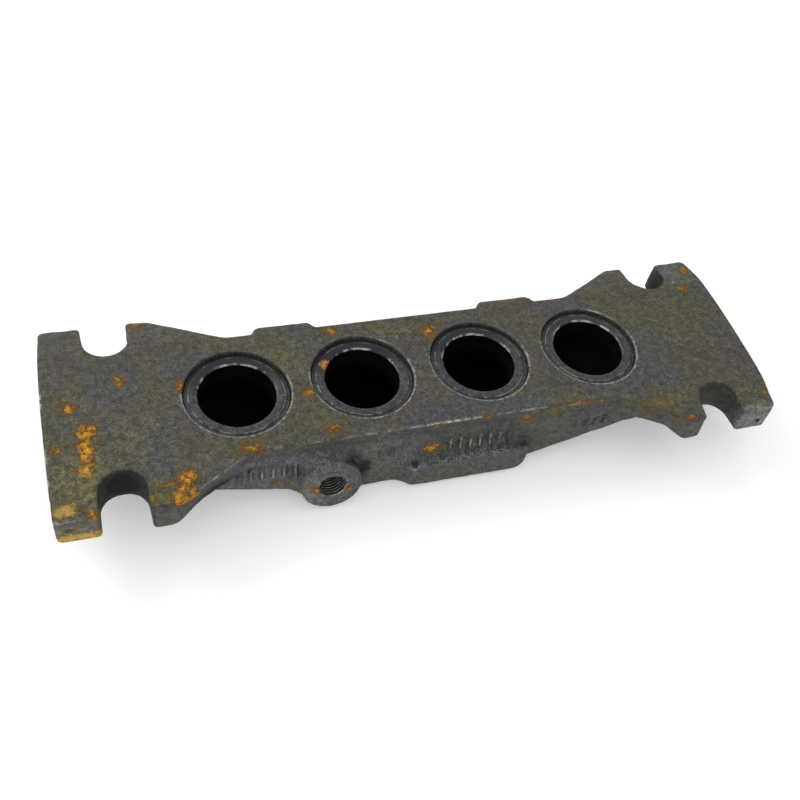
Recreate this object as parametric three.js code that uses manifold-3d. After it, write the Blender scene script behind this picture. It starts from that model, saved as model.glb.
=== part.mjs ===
// Cast-iron header manifold with four tube ports, for a tube-bundle heat exchanger.
//
// Millimetres, +Z up. The machined port face looks up, the header's length runs along X, and
// the tapped boss is on the -Y side. The origin is at the middle of the base, under the ports.
import * as THREE from 'three';
import { mergeVertices } from 'three/addons/utils/BufferGeometryUtils.js';
import Module from 'manifold-3d';

const wasm = await Module();
wasm.setup();

// ---- Driving dimensions ----------------------------------------------------------------------

const PORT_COUNT = 4;
const PORT_PITCH = 54;
const HEIGHT = 36;
const CUT_MARGIN = 0.5; // how far a cut runs past the face it breaks through
const OVERLAP = 4; // how far a raised feature starts inside the solid it stands on

// Flange plate: a straight body between two eared ends
const PLATE_THICKNESS = 18;
const HALF_LENGTH = 158.2;
const BODY_HALF_WIDTH = 30.5;
const BODY_HALF_STRAIGHT = 81;
const BODY_FILLET = 14; // in plan, where the body widens to the ears
const EAR_HALF_WIDTH = 47.3;
const INNER_EAR_X = 111.5;
const INNER_EAR_FILLET = 4;
const TIP_FILLET = 2.5;
const WEB_THICKNESS = 11; // between the ears and the body, thinner than the ears themselves
const WEB_END_X = 104;
const WEB_FILLET = 8;
const EAR_PAD_X = 114; // from here outwards the ears have their full thickness
const EAR_SLOPE_START = 31.5;
const EAR_SLOPE_DROP = 2.8;

// Open bolt slots between the ears. As cast, the four corners differ by a millimetre or two.
const SLOT_RADIUS = 9;
const SLOT_FLARE = 0.5;
const SLOT_MOUTH_FILLET = 1.5;
const CORNERS = {
  backRight: { slotX: 129, slotBottom: 29.6, tipX: 155.4 },
  backLeft: { slotX: 130, slotBottom: 28.4, tipX: 156.4 },
  frontLeft: { slotX: 131.6, slotBottom: 30, tipX: 158 },
  frontRight: { slotX: 130.2, slotBottom: 31, tipX: 156.6 },
};

// Waterway under the plate: a flat base with a long ramp up to the plate on the left and a
// steeper one on the right
const LEFT_RAMP = { start: 42, end: 113 };
const RIGHT_RAMP = { start: 37, end: 96 };
const RAMP_START_FILLET = 40;
const RAMP_END_FILLET = 20;
const BELLY_HALF_WIDTH = 33;
const BELLY_CORNER = 2.5;
const WALL_BREAK_DEPTH = 6.5; // below the port face, where the walls start to flare
const WALL = 5.5;
const PLENUM_CEILING = 22;
const PLENUM_CORNER = 4;
const PLENUM_RAMP_FILLET = 30;
const PLENUM_PAST_PORT = 12; // from the last port's axis to the plenum's end
const PLENUM_END_OPENING = 1.6; // least height at the plenum's ends

// Ports and their seats, from the face down
const SEAT_RADIUS = 22.3;
const BORE_RADIUS = 16.2;
const SEAT_RECESS = 1.5;
const RING_THICKNESS = 5;
const GASKET_THICKNESS = 1.6;
const GAP = 0.3;
const RING_SHOULDER_RADIUS = 20.1; // outside it the ring's face steps down
const RING_SHOULDER_DROP = 0.5;
const RING_INNER_CHAMFER = 0.7;
const GASKET_INSET = 0.6; // from the bore to the gasket's inner edge
const ROUND_SEGMENTS = 48;

// Tapped boss on the front wall, 1/4 inch taper thread
const BOSS_X = -47.8;
const BOSS_Z = 13.8;
const BOSS_FACE_Y = -38.6;
const BOSS_TILT = THREE.MathUtils.degToRad(9.5);
const BOSS_RADIUS = 13;
const BOSS_FILLET = 3.5;
const BOSS_REACH = 9; // from the face back into the wall
const BOSS_WALL_DEPTH = 6.9; // from the face to where the fillet meets the wall
const BOSS_CHAMFER = 0.8;
const BOSS_SEGMENTS = 40;
const THREAD_MAJOR_RADIUS = 6.6;
const THREAD_DEPTH = 0.9;
const THREAD_PITCH = 1.411;
const THREAD_TURNS = 6;
const THREAD_TAPER = 1 / 32; // radius lost per millimetre of depth
const THREAD_MOUTH_RADIUS = 5.8;
const THREAD_SEGMENTS = 32;
const HOLE_DEPTH = 15.5; // from the boss face into the plenum

// Raised pads on the two long walls
const FRONT_PAD = { x0: -13, x1: 43, z0: 0, z1: 16.5, front: -37.2, lowCorner: 7, topCorner: 3 };
const FRONT_PAD_EDGE = 1.2;
const BACK_PADS = [{ x0: -67, x1: -43 }, { x0: 38, x1: 63 }];
const BACK_PAD_Y = 34.4;
const BACK_PAD_BASE_Z = 14;
const BACK_PAD_CORNER = 3.5;

// ---- Geometry helpers ------------------------------------------------------------------------

// A closed outline from corners [x, y, fillet radius], counter-clockwise
function roundedOutline(corners, arcSteps = 6) {
  const points = [];
  corners.forEach(([x, y, radius], i) => {
    const corner = new THREE.Vector2(x, y);
    if (!radius) {
      points.push(corner);
      return;
    }
    const before = corners[(i + corners.length - 1) % corners.length];
    const after = corners[(i + 1) % corners.length];
    const toBefore = new THREE.Vector2(before[0], before[1]).sub(corner).normalize();
    const toAfter = new THREE.Vector2(after[0], after[1]).sub(corner).normalize();
    const halfAngle = Math.acos(THREE.MathUtils.clamp(toBefore.dot(toAfter), -1, 1)) / 2;
    const tangent = radius / Math.tan(halfAngle);
    const centre = toBefore.clone().add(toAfter).normalize();
    centre.multiplyScalar(radius / Math.sin(halfAngle)).add(corner);
    const start = toBefore.multiplyScalar(tangent).add(corner).sub(centre).angle();
    const end = toAfter.multiplyScalar(tangent).add(corner).sub(centre).angle();
    const turn = THREE.MathUtils.euclideanModulo(end - start + Math.PI, 2 * Math.PI) - Math.PI;
    for (let step = 0; step <= arcSteps; step += 1) {
      const angle = start + (turn * step) / arcSteps;
      const offset = new THREE.Vector2(Math.cos(angle), Math.sin(angle)).multiplyScalar(radius);
      points.push(offset.add(centre));
    }
  });
  return new THREE.Shape(points);
}

function toSolid(geometry) {
  const bare = geometry.clone();
  bare.deleteAttribute('normal');
  bare.deleteAttribute('uv');
  const merged = mergeVertices(bare, 1e-3);
  const index = merged.index.array;
  const triangles = [];
  for (let i = 0; i < index.length; i += 3) {
    const [a, b, c] = [index[i], index[i + 1], index[i + 2]];
    if (a !== b && b !== c && c !== a) {
      triangles.push(a, b, c);
    }
  }
  return new wasm.Manifold(new wasm.Mesh({
    numProp: 3,
    vertProperties: new Float32Array(merged.attributes.position.array),
    triVerts: new Uint32Array(triangles),
  }));
}

function toGeometry(solid) {
  const mesh = solid.getMesh();
  const geometry = new THREE.BufferGeometry();
  const positions = new Float32Array(mesh.vertProperties);
  geometry.setAttribute('position', new THREE.BufferAttribute(positions, 3));
  geometry.setIndex(new THREE.BufferAttribute(new Uint32Array(mesh.triVerts), 1));
  geometry.computeVertexNormals();
  return geometry;
}

// Outline in plan, extruded upwards
function extrudeUp(shape, bottom, top) {
  const geometry = new THREE.ExtrudeGeometry(shape, { depth: top - bottom, bevelEnabled: false });
  geometry.translate(0, 0, bottom);
  return toSolid(geometry);
}

// Outline in side view (x, z), extruded along Y from front to back
function extrudeAcross(shape, front, back, bevel = 0) {
  const geometry = new THREE.ExtrudeGeometry(shape, {
    depth: back - front - 2 * bevel,
    bevelEnabled: bevel > 0,
    bevelSize: bevel,
    bevelOffset: -bevel,
    bevelThickness: bevel,
    bevelSegments: 2,
  });
  const frame = new THREE.Matrix4().makeBasis(
    new THREE.Vector3(1, 0, 0),
    new THREE.Vector3(0, 0, 1),
    new THREE.Vector3(0, -1, 0),
  );
  geometry.applyMatrix4(frame);
  geometry.translate(0, back - bevel, 0);
  return toSolid(geometry);
}

// Outline in end view (y, z), extruded along X, centred
function extrudeAlong(shape, halfLength) {
  const geometry = new THREE.ExtrudeGeometry(shape, { depth: 2 * halfLength, bevelEnabled: false });
  const frame = new THREE.Matrix4().makeBasis(
    new THREE.Vector3(0, 1, 0),
    new THREE.Vector3(0, 0, 1),
    new THREE.Vector3(1, 0, 0),
  );
  geometry.applyMatrix4(frame);
  geometry.translate(-halfLength, 0, 0);
  return toSolid(geometry);
}

function uprightCylinder(x, radius, bottom, top) {
  const geometry = new THREE.CylinderGeometry(radius, radius, top - bottom, ROUND_SEGMENTS);
  geometry.rotateX(Math.PI / 2);
  geometry.translate(x, 0, (top + bottom) / 2);
  return toSolid(geometry);
}

// A turned shape on the boss's axis; its profile's second coordinate runs out of the boss face
function turnedOnBossAxis(profile, segments) {
  const points = profile.map(([radius, along]) => new THREE.Vector2(radius, along));
  const geometry = new THREE.LatheGeometry(points, segments);
  const outward = new THREE.Vector3(0, -Math.cos(BOSS_TILT), Math.sin(BOSS_TILT));
  const turn = new THREE.Quaternion().setFromUnitVectors(new THREE.Vector3(0, 1, 0), outward);
  geometry.applyQuaternion(turn);
  geometry.translate(BOSS_X, BOSS_FACE_Y, BOSS_Z);
  return toSolid(geometry);
}

const portX = (index) => (index - (PORT_COUNT - 1) / 2) * PORT_PITCH;

// ---- Header casting --------------------------------------------------------------------------

const PLATE_BOTTOM = HEIGHT - PLATE_THICKNESS;
const RING_TOP = HEIGHT - SEAT_RECESS;
const RING_BOTTOM = RING_TOP - RING_THICKNESS;
const GASKET_BOTTOM = RING_BOTTOM - GAP - GASKET_THICKNESS;
const SEAT_LEDGE = GASKET_BOTTOM - GAP;

const flip = (corners, signX, signY) => corners.map(([x, y, r]) => [signX * x, signY * y, r]);

// One corner of the plate in plan, from the body out to the middle of the end face
function cornerOutline({ slotX, slotBottom, tipX }) {
  const innerSide = slotX - SLOT_RADIUS;
  const outerSide = slotX + SLOT_RADIUS;
  const slotFillet = SLOT_RADIUS - 0.2;
  const outline = [
    [BODY_HALF_STRAIGHT, BODY_HALF_WIDTH, BODY_FILLET],
    [INNER_EAR_X, EAR_HALF_WIDTH, INNER_EAR_FILLET],
    [innerSide - SLOT_FLARE, EAR_HALF_WIDTH, SLOT_MOUTH_FILLET],
    [innerSide, slotBottom, slotFillet],
    [outerSide, slotBottom, slotFillet],
    [outerSide + SLOT_FLARE, EAR_HALF_WIDTH, SLOT_MOUTH_FILLET],
    [tipX, EAR_HALF_WIDTH, TIP_FILLET],
  ];
  const bowSteps = 3;
  for (let step = bowSteps - 1; step >= 1; step -= 1) {
    const across = step / bowSteps;
    const x = THREE.MathUtils.lerp(HALF_LENGTH, tipX, across * across);
    outline.push([x, EAR_HALF_WIDTH * across, 0]);
  }
  return outline;
}

function plateOutline() {
  return roundedOutline([
    [HALF_LENGTH, 0, 0],
    ...cornerOutline(CORNERS.backRight).reverse(),
    ...flip(cornerOutline(CORNERS.backLeft), -1, 1),
    [-HALF_LENGTH, 0, 0],
    ...flip(cornerOutline(CORNERS.frontLeft).reverse(), -1, -1),
    ...flip(cornerOutline(CORNERS.frontRight), 1, -1),
  ]);
}

// Relief under the web that joins one ear to the body
function webRelief(signX, signY) {
  const top = HEIGHT - WEB_THICKNESS;
  const below = PLATE_BOTTOM - OVERLAP;
  const slope = (EAR_PAD_X - WEB_END_X) / (top - PLATE_BOTTOM);
  const corners = [
    [0, below, 0],
    [EAR_PAD_X + OVERLAP * slope, below, 0],
    [WEB_END_X, top, WEB_FILLET],
    [0, top, 0],
  ];
  const shape = roundedOutline(signX > 0 ? corners : flip(corners, -1, 1).reverse());
  const inner = BODY_HALF_WIDTH - 0.6;
  const outer = EAR_HALF_WIDTH + 5;
  return signY > 0 ? extrudeAcross(shape, inner, outer) : extrudeAcross(shape, -outer, -inner);
}

// The casting's draft line: beyond it the ears fall away from the port face
function earSlopeCutter(side) {
  const reach = EAR_HALF_WIDTH + 10;
  const slope = EAR_SLOPE_DROP / (EAR_HALF_WIDTH - EAR_SLOPE_START);
  const wedge = [
    [EAR_SLOPE_START, HEIGHT, 0],
    [reach, HEIGHT - slope * (reach - EAR_SLOPE_START), 0],
    [reach, HEIGHT + 10, 0],
    [EAR_SLOPE_START, HEIGHT + 10, 0],
  ];
  const corners = side > 0 ? wedge : flip(wedge, -1, 1).reverse();
  return extrudeAlong(roundedOutline(corners), HALF_LENGTH + 10);
}

function belly() {
  const inside = HEIGHT - OVERLAP;
  const flare = (BELLY_HALF_WIDTH - BODY_HALF_WIDTH) / (HEIGHT - WALL_BREAK_DEPTH);
  const insideHalfWidth = BELLY_HALF_WIDTH - flare * inside;
  const end = EAR_PAD_X;
  const side = roundedOutline([
    [-LEFT_RAMP.start, 0, RAMP_START_FILLET],
    [RIGHT_RAMP.start, 0, RAMP_START_FILLET],
    [RIGHT_RAMP.end, PLATE_BOTTOM, RAMP_END_FILLET],
    [end, PLATE_BOTTOM, 0],
    [end, inside, 0],
    [-end, inside, 0],
    [-end, PLATE_BOTTOM, 0],
    [-LEFT_RAMP.end, PLATE_BOTTOM, 0],
  ]);
  const section = roundedOutline([
    [-BELLY_HALF_WIDTH, 0, BELLY_CORNER],
    [BELLY_HALF_WIDTH, 0, BELLY_CORNER],
    [insideHalfWidth, inside, 0],
    [-insideHalfWidth, inside, 0],
  ], 4);
  const across = extrudeAcross(side, -BELLY_HALF_WIDTH - 5, BELLY_HALF_WIDTH + 5);
  return across.intersect(extrudeAlong(section, end + 5));
}

function bossBody() {
  const filletSteps = 5;
  const profile = [[0, -BOSS_REACH], [BOSS_RADIUS + BOSS_FILLET, -BOSS_REACH]];
  for (let step = 0; step <= filletSteps; step += 1) {
    const angle = (step / filletSteps) * (Math.PI / 2);
    const radius = BOSS_RADIUS + BOSS_FILLET * (1 - Math.sin(angle));
    profile.push([radius, BOSS_FILLET * (1 - Math.cos(angle)) - BOSS_WALL_DEPTH]);
  }
  profile.push([BOSS_RADIUS, -BOSS_CHAMFER], [BOSS_RADIUS - BOSS_CHAMFER, 0], [0, 0]);
  const boss = turnedOnBossAxis(profile, BOSS_SEGMENTS);
  const groundSize = 6 * BOSS_RADIUS;
  const ground = new THREE.BoxGeometry(groundSize, groundSize, groundSize);
  ground.translate(BOSS_X, BOSS_FACE_Y, -groundSize / 2);
  return boss.subtract(toSolid(ground));
}

// Tapering thread, cut as a stack of ridges
function threadedHole() {
  const profile = [[0, -HOLE_DEPTH]];
  const coreRadius = THREAD_MAJOR_RADIUS - THREAD_DEPTH;
  const threadEnd = THREAD_PITCH * THREAD_TURNS;
  profile.push([coreRadius - THREAD_TAPER * threadEnd, -HOLE_DEPTH]);
  for (let turn = THREAD_TURNS; turn >= 1; turn -= 1) {
    const valley = -THREAD_PITCH * (turn - 0.5);
    const ridge = -THREAD_PITCH * turn;
    profile.push([coreRadius + THREAD_TAPER * ridge, ridge]);
    profile.push([THREAD_MAJOR_RADIUS + THREAD_TAPER * valley, valley]);
  }
  profile.push([THREAD_MOUTH_RADIUS, 0], [THREAD_MOUTH_RADIUS, CUT_MARGIN], [0, CUT_MARGIN]);
  return turnedOnBossAxis(profile, THREAD_SEGMENTS);
}

function frontPad() {
  const { x0, x1, z0, z1, front, lowCorner, topCorner } = FRONT_PAD;
  const face = roundedOutline([
    [x0, z0, lowCorner],
    [x1, z0, lowCorner],
    [x1, z1, topCorner],
    [x0, z1, topCorner],
  ], 4);
  return extrudeAcross(face, front, -BODY_HALF_WIDTH + OVERLAP, FRONT_PAD_EDGE);
}

function backPad({ x0, x1 }) {
  const root = BODY_HALF_WIDTH - OVERLAP;
  const outline = roundedOutline([
    [x0 - BACK_PAD_CORNER, root, 0],
    [x1 + BACK_PAD_CORNER, root, 0],
    [x1, BACK_PAD_Y, BACK_PAD_CORNER],
    [x0, BACK_PAD_Y, BACK_PAD_CORNER],
  ], 4);
  return extrudeUp(outline, BACK_PAD_BASE_Z, HEIGHT);
}

// Where the plenum ends on one side, and how high its floor has ramped up by there
function plenumEnd({ start, end }) {
  const slope = PLATE_BOTTOM / (end - start);
  const floorStart = start - 1;
  const lastPort = portX(PORT_COUNT - 1);
  const highestFloor = PLENUM_CEILING - PLENUM_END_OPENING;
  const x = Math.min(lastPort + PLENUM_PAST_PORT, floorStart + (highestFloor - WALL) / slope);
  return { floorStart, x, z: WALL + slope * (x - floorStart) };
}

function plenum() {
  const left = plenumEnd(LEFT_RAMP);
  const right = plenumEnd(RIGHT_RAMP);
  const halfWidth = BODY_HALF_WIDTH - WALL;
  const side = roundedOutline([
    [-left.floorStart, WALL, PLENUM_RAMP_FILLET],
    [right.floorStart, WALL, PLENUM_RAMP_FILLET],
    [right.x, right.z, 0],
    [right.x, PLENUM_CEILING, 0],
    [-left.x, PLENUM_CEILING, 0],
    [-left.x, left.z, 0],
  ]);
  const section = roundedOutline([
    [-halfWidth, 0, 0],
    [halfWidth, 0, 0],
    [halfWidth, PLENUM_CEILING, PLENUM_CORNER],
    [-halfWidth, PLENUM_CEILING, PLENUM_CORNER],
  ], 4);
  const across = extrudeAcross(side, -BODY_HALF_WIDTH, BODY_HALF_WIDTH);
  return across.intersect(extrudeAlong(section, HALF_LENGTH));
}

function headerCasting() {
  let body = extrudeUp(plateOutline(), PLATE_BOTTOM, HEIGHT);
  [[-1, -1], [-1, 1], [1, -1], [1, 1]].forEach(([signX, signY]) => {
    body = body.subtract(webRelief(signX, signY));
  });
  body = body.add(belly());
  BACK_PADS.forEach((pad) => {
    body = body.add(backPad(pad));
  });
  body = body.add(bossBody()).add(frontPad());
  body = body.subtract(earSlopeCutter(1)).subtract(earSlopeCutter(-1)).subtract(plenum());
  const boreBottom = PLENUM_CEILING - CUT_MARGIN;
  for (let index = 0; index < PORT_COUNT; index += 1) {
    body = body.subtract(uprightCylinder(portX(index), BORE_RADIUS, boreBottom, HEIGHT));
    body = body.subtract(uprightCylinder(portX(index), SEAT_RADIUS, SEAT_LEDGE, HEIGHT + CUT_MARGIN));
  }
  return toGeometry(body.subtract(threadedHole()));
}

// ---- Seat rings and their gaskets ------------------------------------------------------------

// A ring of the given profile, standing upright on its own underside
function turnedRing(profile) {
  const points = [...profile, profile[0]].map(([radius, z]) => new THREE.Vector2(radius, z));
  const geometry = new THREE.LatheGeometry(points, ROUND_SEGMENTS);
  geometry.rotateX(Math.PI / 2);
  return toGeometry(toSolid(geometry));
}

function seatRing() {
  const outer = SEAT_RADIUS - GAP;
  return turnedRing([
    [BORE_RADIUS, 0],
    [outer, 0],
    [outer, RING_THICKNESS - RING_SHOULDER_DROP],
    [RING_SHOULDER_RADIUS, RING_THICKNESS - RING_SHOULDER_DROP],
    [RING_SHOULDER_RADIUS, RING_THICKNESS],
    [BORE_RADIUS + RING_INNER_CHAMFER, RING_THICKNESS],
    [BORE_RADIUS, RING_THICKNESS - RING_INNER_CHAMFER],
  ]);
}

function seatGasket() {
  const inner = BORE_RADIUS + GASKET_INSET;
  const outer = SEAT_RADIUS - GAP;
  return turnedRing([[inner, 0], [outer, 0], [outer, GASKET_THICKNESS], [inner, GASKET_THICKNESS]]);
}

// ---- Materials and assembly ------------------------------------------------------------------

const castIron = new THREE.MeshStandardMaterial({ color: 0x55524a, roughness: 0.72, metalness: 0.35 });
const machinedIron = new THREE.MeshStandardMaterial({ color: 0x4d5156, roughness: 0.5, metalness: 0.6 });
const gasketFibre = new THREE.MeshStandardMaterial({ color: 0x23262b, roughness: 0.9, metalness: 0 });

function part(name, geometry, material, x = 0, z = 0) {
  const mesh = new THREE.Mesh(geometry, material);
  mesh.name = name;
  mesh.position.set(x, 0, z);
  return mesh;
}

const header = new THREE.Group();
header.name = 'header_manifold';
header.add(part('header_casting', headerCasting(), castIron));
const ringShape = seatRing();
const gasketShape = seatGasket();
for (let index = 0; index < PORT_COUNT; index += 1) {
  const x = portX(index);
  header.add(part(`seat_ring_${index + 1}`, ringShape, machinedIron, x, RING_BOTTOM));
  header.add(part(`seat_gasket_${index + 1}`, gasketShape, gasketFibre, x, GASKET_BOTTOM));
}

export default header;
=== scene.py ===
"""Cast-iron header manifold with four tube ports: the finished look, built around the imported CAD.

The casting is sculpted as a signed-distance field in millimetres, meshed, and joined by a
separately modelled thread; the seat rings are turned profiles. Blender objects are in metres.
"""
import math

import bpy
import numpy as np
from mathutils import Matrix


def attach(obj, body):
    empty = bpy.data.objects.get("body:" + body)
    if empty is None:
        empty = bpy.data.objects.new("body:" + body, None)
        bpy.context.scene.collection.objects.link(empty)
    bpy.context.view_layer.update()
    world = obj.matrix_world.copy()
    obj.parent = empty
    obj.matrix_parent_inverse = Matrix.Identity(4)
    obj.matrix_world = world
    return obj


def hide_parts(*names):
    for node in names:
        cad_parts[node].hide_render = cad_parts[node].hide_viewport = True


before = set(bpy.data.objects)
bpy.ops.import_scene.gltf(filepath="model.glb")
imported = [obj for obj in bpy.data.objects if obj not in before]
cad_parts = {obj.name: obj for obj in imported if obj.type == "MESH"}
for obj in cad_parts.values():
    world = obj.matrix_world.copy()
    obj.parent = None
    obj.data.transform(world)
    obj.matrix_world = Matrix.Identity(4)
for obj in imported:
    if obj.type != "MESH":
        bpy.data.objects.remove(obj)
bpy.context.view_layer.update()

import openvdb
from mathutils import Matrix, Vector

MM = 0.001

# ---- Sizes, in millimetres -------------------------------------------------------------------

PORT_X = (-81.0, -27.0, 27.0, 81.0)
HEIGHT = 36.0
PLATE_BOTTOM = 18.0
HALF_LENGTH = 158.2
BODY_HALF_WIDTH = 30.5
BODY_HALF_STRAIGHT = 81.0
EAR_HALF_WIDTH = 47.3
INNER_EAR_X = 111.5
EAR_SLOPE_START = 31.5
EAR_SLOPE_DROP = 2.8

# Under the webs that join the ears to the body
WEB_BOTTOM = 25.0
WEB_END_X = 104.0
EAR_PAD_X = 114.0

# The four corners as cast: slot middle, slot bottom and outer tip on the port face, how far each
# corner's underside leans along X, and painted_shade: how dark the slot's walls are painted, 0 to 1
SLOT_RADIUS = 9.0
SLOT_FLARE = 0.5
CORNERS = {
    (1, 1): {"slot": 129.0, "bottom": 29.6, "tip": 155.4, "lean": 0.0, "painted_shade": 1.0},
    (-1, 1): {"slot": 130.0, "bottom": 28.4, "tip": 156.4, "lean": 0.0, "painted_shade": 0.7},
    (-1, -1): {"slot": 131.6, "bottom": 30.0, "tip": 158.0, "lean": 0.0, "painted_shade": 0.85},
    (1, -1): {"slot": 130.2, "bottom": 31.0, "tip": 156.6, "lean": 1.6, "painted_shade": 0.6},
}

# Waterway: ramps at both ends, flared walls, and the hollow inside
LEFT_RAMP = (-42.0, -113.0)
RIGHT_RAMP = (37.0, 96.0)
BELLY_HALF_WIDTH = 33.0
BREAK_HALF_WIDTH = 31.5
WALL_BREAK = 29.5
WALL = 5.5
PLENUM_CEILING = 22.0
PLENUM_ENDS = (-93.0, 84.8)

# Ports, the counterbores of their seats, and the seat rings
SEAT_RADIUS = 22.3
SEAT_LEDGE = 27.3
BORE_RADIUS = 16.2
RING_BOTTOM = 29.5
RING_THICKNESS = 5.0
RING_OUTER = 22.1
RING_SHOULDER = 20.1

# Tapped boss: the middle of its face, how far it leans upward, and its thread
BOSS = np.array((-47.8, -38.6, 13.8))
BOSS_TILT = math.radians(9.5)
BOSS_RADIUS = 13.0
BOSS_ROOT = 14.0
BOSS_OUT = np.array((0.0, -math.cos(BOSS_TILT), math.sin(BOSS_TILT)))
THREAD_RADIUS = 6.6
THREAD_DEPTH = 0.9
THREAD_PITCH = 1.411
THREAD_TAPER = 1 / 32
THREAD_MOUTH_RADIUS = 5.6
THREAD_START = 0.9
THREAD_LENGTH = 12.6
HOLE_DEPTH = 20.0

# Pads on the walls
FRONT_PAD = {"x": (-13.0, 43.0), "z": (0.0, 16.5), "front": 37.2}
BACK_PADS = ((-67.0, -43.0), (38.0, 63.0))
BACK_PAD_Y = 34.4
BACK_PAD_BASE = 14.0

# Raised upright bars on the front wall: first bar's x, middle z, length, how many
MARK_HEIGHT = 1.5
MARK_HALF_WIDTH = 1.4
MARK_SPACING = 4.6
TALLY = ((-86.0, 21.6, 6.0, 6), (-26.0, 22.6, 4.0, 2), (5.0, 22.4, 5.6, 7), (66.0, 21.8, 4.0, 4))
# Blow holes in the casting's skin: middle and radius
PITS = ((-11.3, -37.4, 17.6, 1.7), (-153.0, -47.3, 27.0, 1.2), (151.6, -46.6, 23.6, 0.9),
        (112.9, -46.6, 33.0, 0.8))

# ---- Distance-field tools --------------------------------------------------------------------

STEP = 0.6
MARGIN = 4.0
SPAN = np.array((HALF_LENGTH + MARGIN, EAR_HALF_WIDTH + MARGIN))
START = np.array((-SPAN[0], -SPAN[1], -MARGIN))
COUNT = np.ceil(np.array((2 * SPAN[0], 2 * SPAN[1], HEIGHT + 2 * MARGIN)) / STEP).astype(int)
X, Y, Z = (
    (START[axis] + STEP * np.arange(COUNT[axis])).astype(np.float32).reshape(shape)
    for axis, shape in enumerate(((-1, 1, 1), (1, -1, 1), (1, 1, -1)))
)
random = np.random.default_rng(41)


def soft_and(a, b, radius):
    """Where both fields are inside, with a rounded edge between them."""
    return np.minimum(np.maximum(a, b), -radius) + np.hypot(
        np.maximum(a + radius, 0), np.maximum(b + radius, 0)
    )


def soft_or(a, b, radius):
    """Both fields together, with a fillet in the corner between them."""
    return np.maximum(np.minimum(a, b), radius) - np.hypot(
        np.maximum(radius - a, 0), np.maximum(radius - b, 0)
    )


def ease(value, start, end):
    """0 before start, 1 after end, smooth between."""
    t = np.clip((value - start) / (end - start), 0, 1)
    return t * t * (3 - 2 * t)


def rounded_outline(corners, steps=8):
    """Points of a closed outline from corners (u, v, fillet radius)."""
    points = []
    for i, (u, v, radius) in enumerate(corners):
        corner = np.array((u, v))
        if not radius:
            points.append(corner)
            continue
        before = np.array(corners[i - 1][:2]) - corner
        after = np.array(corners[(i + 1) % len(corners)][:2]) - corner
        before = before / np.linalg.norm(before)
        after = after / np.linalg.norm(after)
        half = math.acos(np.clip(before @ after, -1, 1)) / 2
        middle = (before + after) / np.linalg.norm(before + after)
        centre = corner + middle * radius / math.sin(half)
        first = corner + before * radius / math.tan(half) - centre
        last = corner + after * radius / math.tan(half) - centre
        angle = math.atan2(first[1], first[0])
        turn = (math.atan2(last[1], last[0]) - angle + math.pi) % (2 * math.pi) - math.pi
        for t in np.linspace(0, 1, steps + 1):
            a = angle + turn * t
            points.append(centre + radius * np.array((math.cos(a), math.sin(a))))
    return np.array(points)


def outline_distance(points, u, v):
    """Signed distance from every (u, v) to a closed outline, negative inside."""
    u, v = np.broadcast_arrays(u, v)
    nearest = np.full(u.shape, 1e6, np.float32)
    inside = np.zeros(u.shape, bool)
    for (u0, v0), (u1, v1) in zip(points, np.roll(points, -1, axis=0)):
        du, dv = u1 - u0, v1 - v0
        along = np.clip(((u - u0) * du + (v - v0) * dv) / (du * du + dv * dv + 1e-12), 0, 1)
        nearest = np.minimum(nearest, np.hypot(u - u0 - along * du, v - v0 - along * dv))
        if v1 != v0:
            inside ^= ((v0 > v) != (v1 > v)) & (u < u0 + (v - v0) * du / dv)
    return np.where(inside, -nearest, nearest).astype(np.float32)


def stretch(values, size, axis):
    """Resamples one axis to the given size, with smooth steps between the samples."""
    place = np.linspace(0, values.shape[axis] - 1.001, size)
    low = place.astype(int)
    part = ease(place - low, 0, 1).astype(np.float32)
    shape = [1, 1, 1]
    shape[axis] = -1
    part = part.reshape(shape)
    return np.take(values, low, axis) * (1 - part) + np.take(values, low + 1, axis) * part


def lumps(size):
    """Smooth random values from -1 to 1 over the whole grid, about size millimetres across."""
    coarse = np.maximum((COUNT * STEP / size).astype(int) + 2, 2)
    values = random.uniform(-1, 1, coarse).astype(np.float32)
    for axis in (2, 1, 0):
        values = stretch(values, COUNT[axis], axis)
    return values


# ---- The casting's distance field ------------------------------------------------------------


def corner_outline(corner, lean):
    """One corner of the plate in plan, from the body out to the middle of the end face."""
    inner = corner["slot"] - SLOT_RADIUS + lean
    outer = corner["slot"] + SLOT_RADIUS + lean
    outline = [
        (BODY_HALF_STRAIGHT, BODY_HALF_WIDTH, 14),
        (INNER_EAR_X + lean, EAR_HALF_WIDTH, 4),
        (inner - SLOT_FLARE, EAR_HALF_WIDTH, 1.5),
        (inner, corner["bottom"], SLOT_RADIUS - 0.2),
        (outer, corner["bottom"], SLOT_RADIUS - 0.2),
        (outer + SLOT_FLARE, EAR_HALF_WIDTH, 1.5),
        (corner["tip"] + lean, EAR_HALF_WIDTH, 2.5),
    ]
    for across in (0.8, 0.6, 0.4, 0.2):
        x = HALF_LENGTH + (corner["tip"] - HALF_LENGTH) * across**2
        outline.append((x, EAR_HALF_WIDTH * across, 0))
    return outline


def plate_outline(lean):
    """The plate in plan; lean runs from 0 at the port face to 1 at the underside."""

    def placed(sign_x, sign_y):
        corner = CORNERS[sign_x, sign_y]
        rows = corner_outline(corner, lean * corner["lean"])
        return [(sign_x * x, sign_y * y, radius) for x, y, radius in rows]

    return rounded_outline(
        [(HALF_LENGTH, 0, 0)]
        + placed(1, 1)[::-1]
        + placed(-1, 1)
        + [(-HALF_LENGTH, 0, 0)]
        + placed(-1, -1)[::-1]
        + placed(1, -1)
    )


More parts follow.
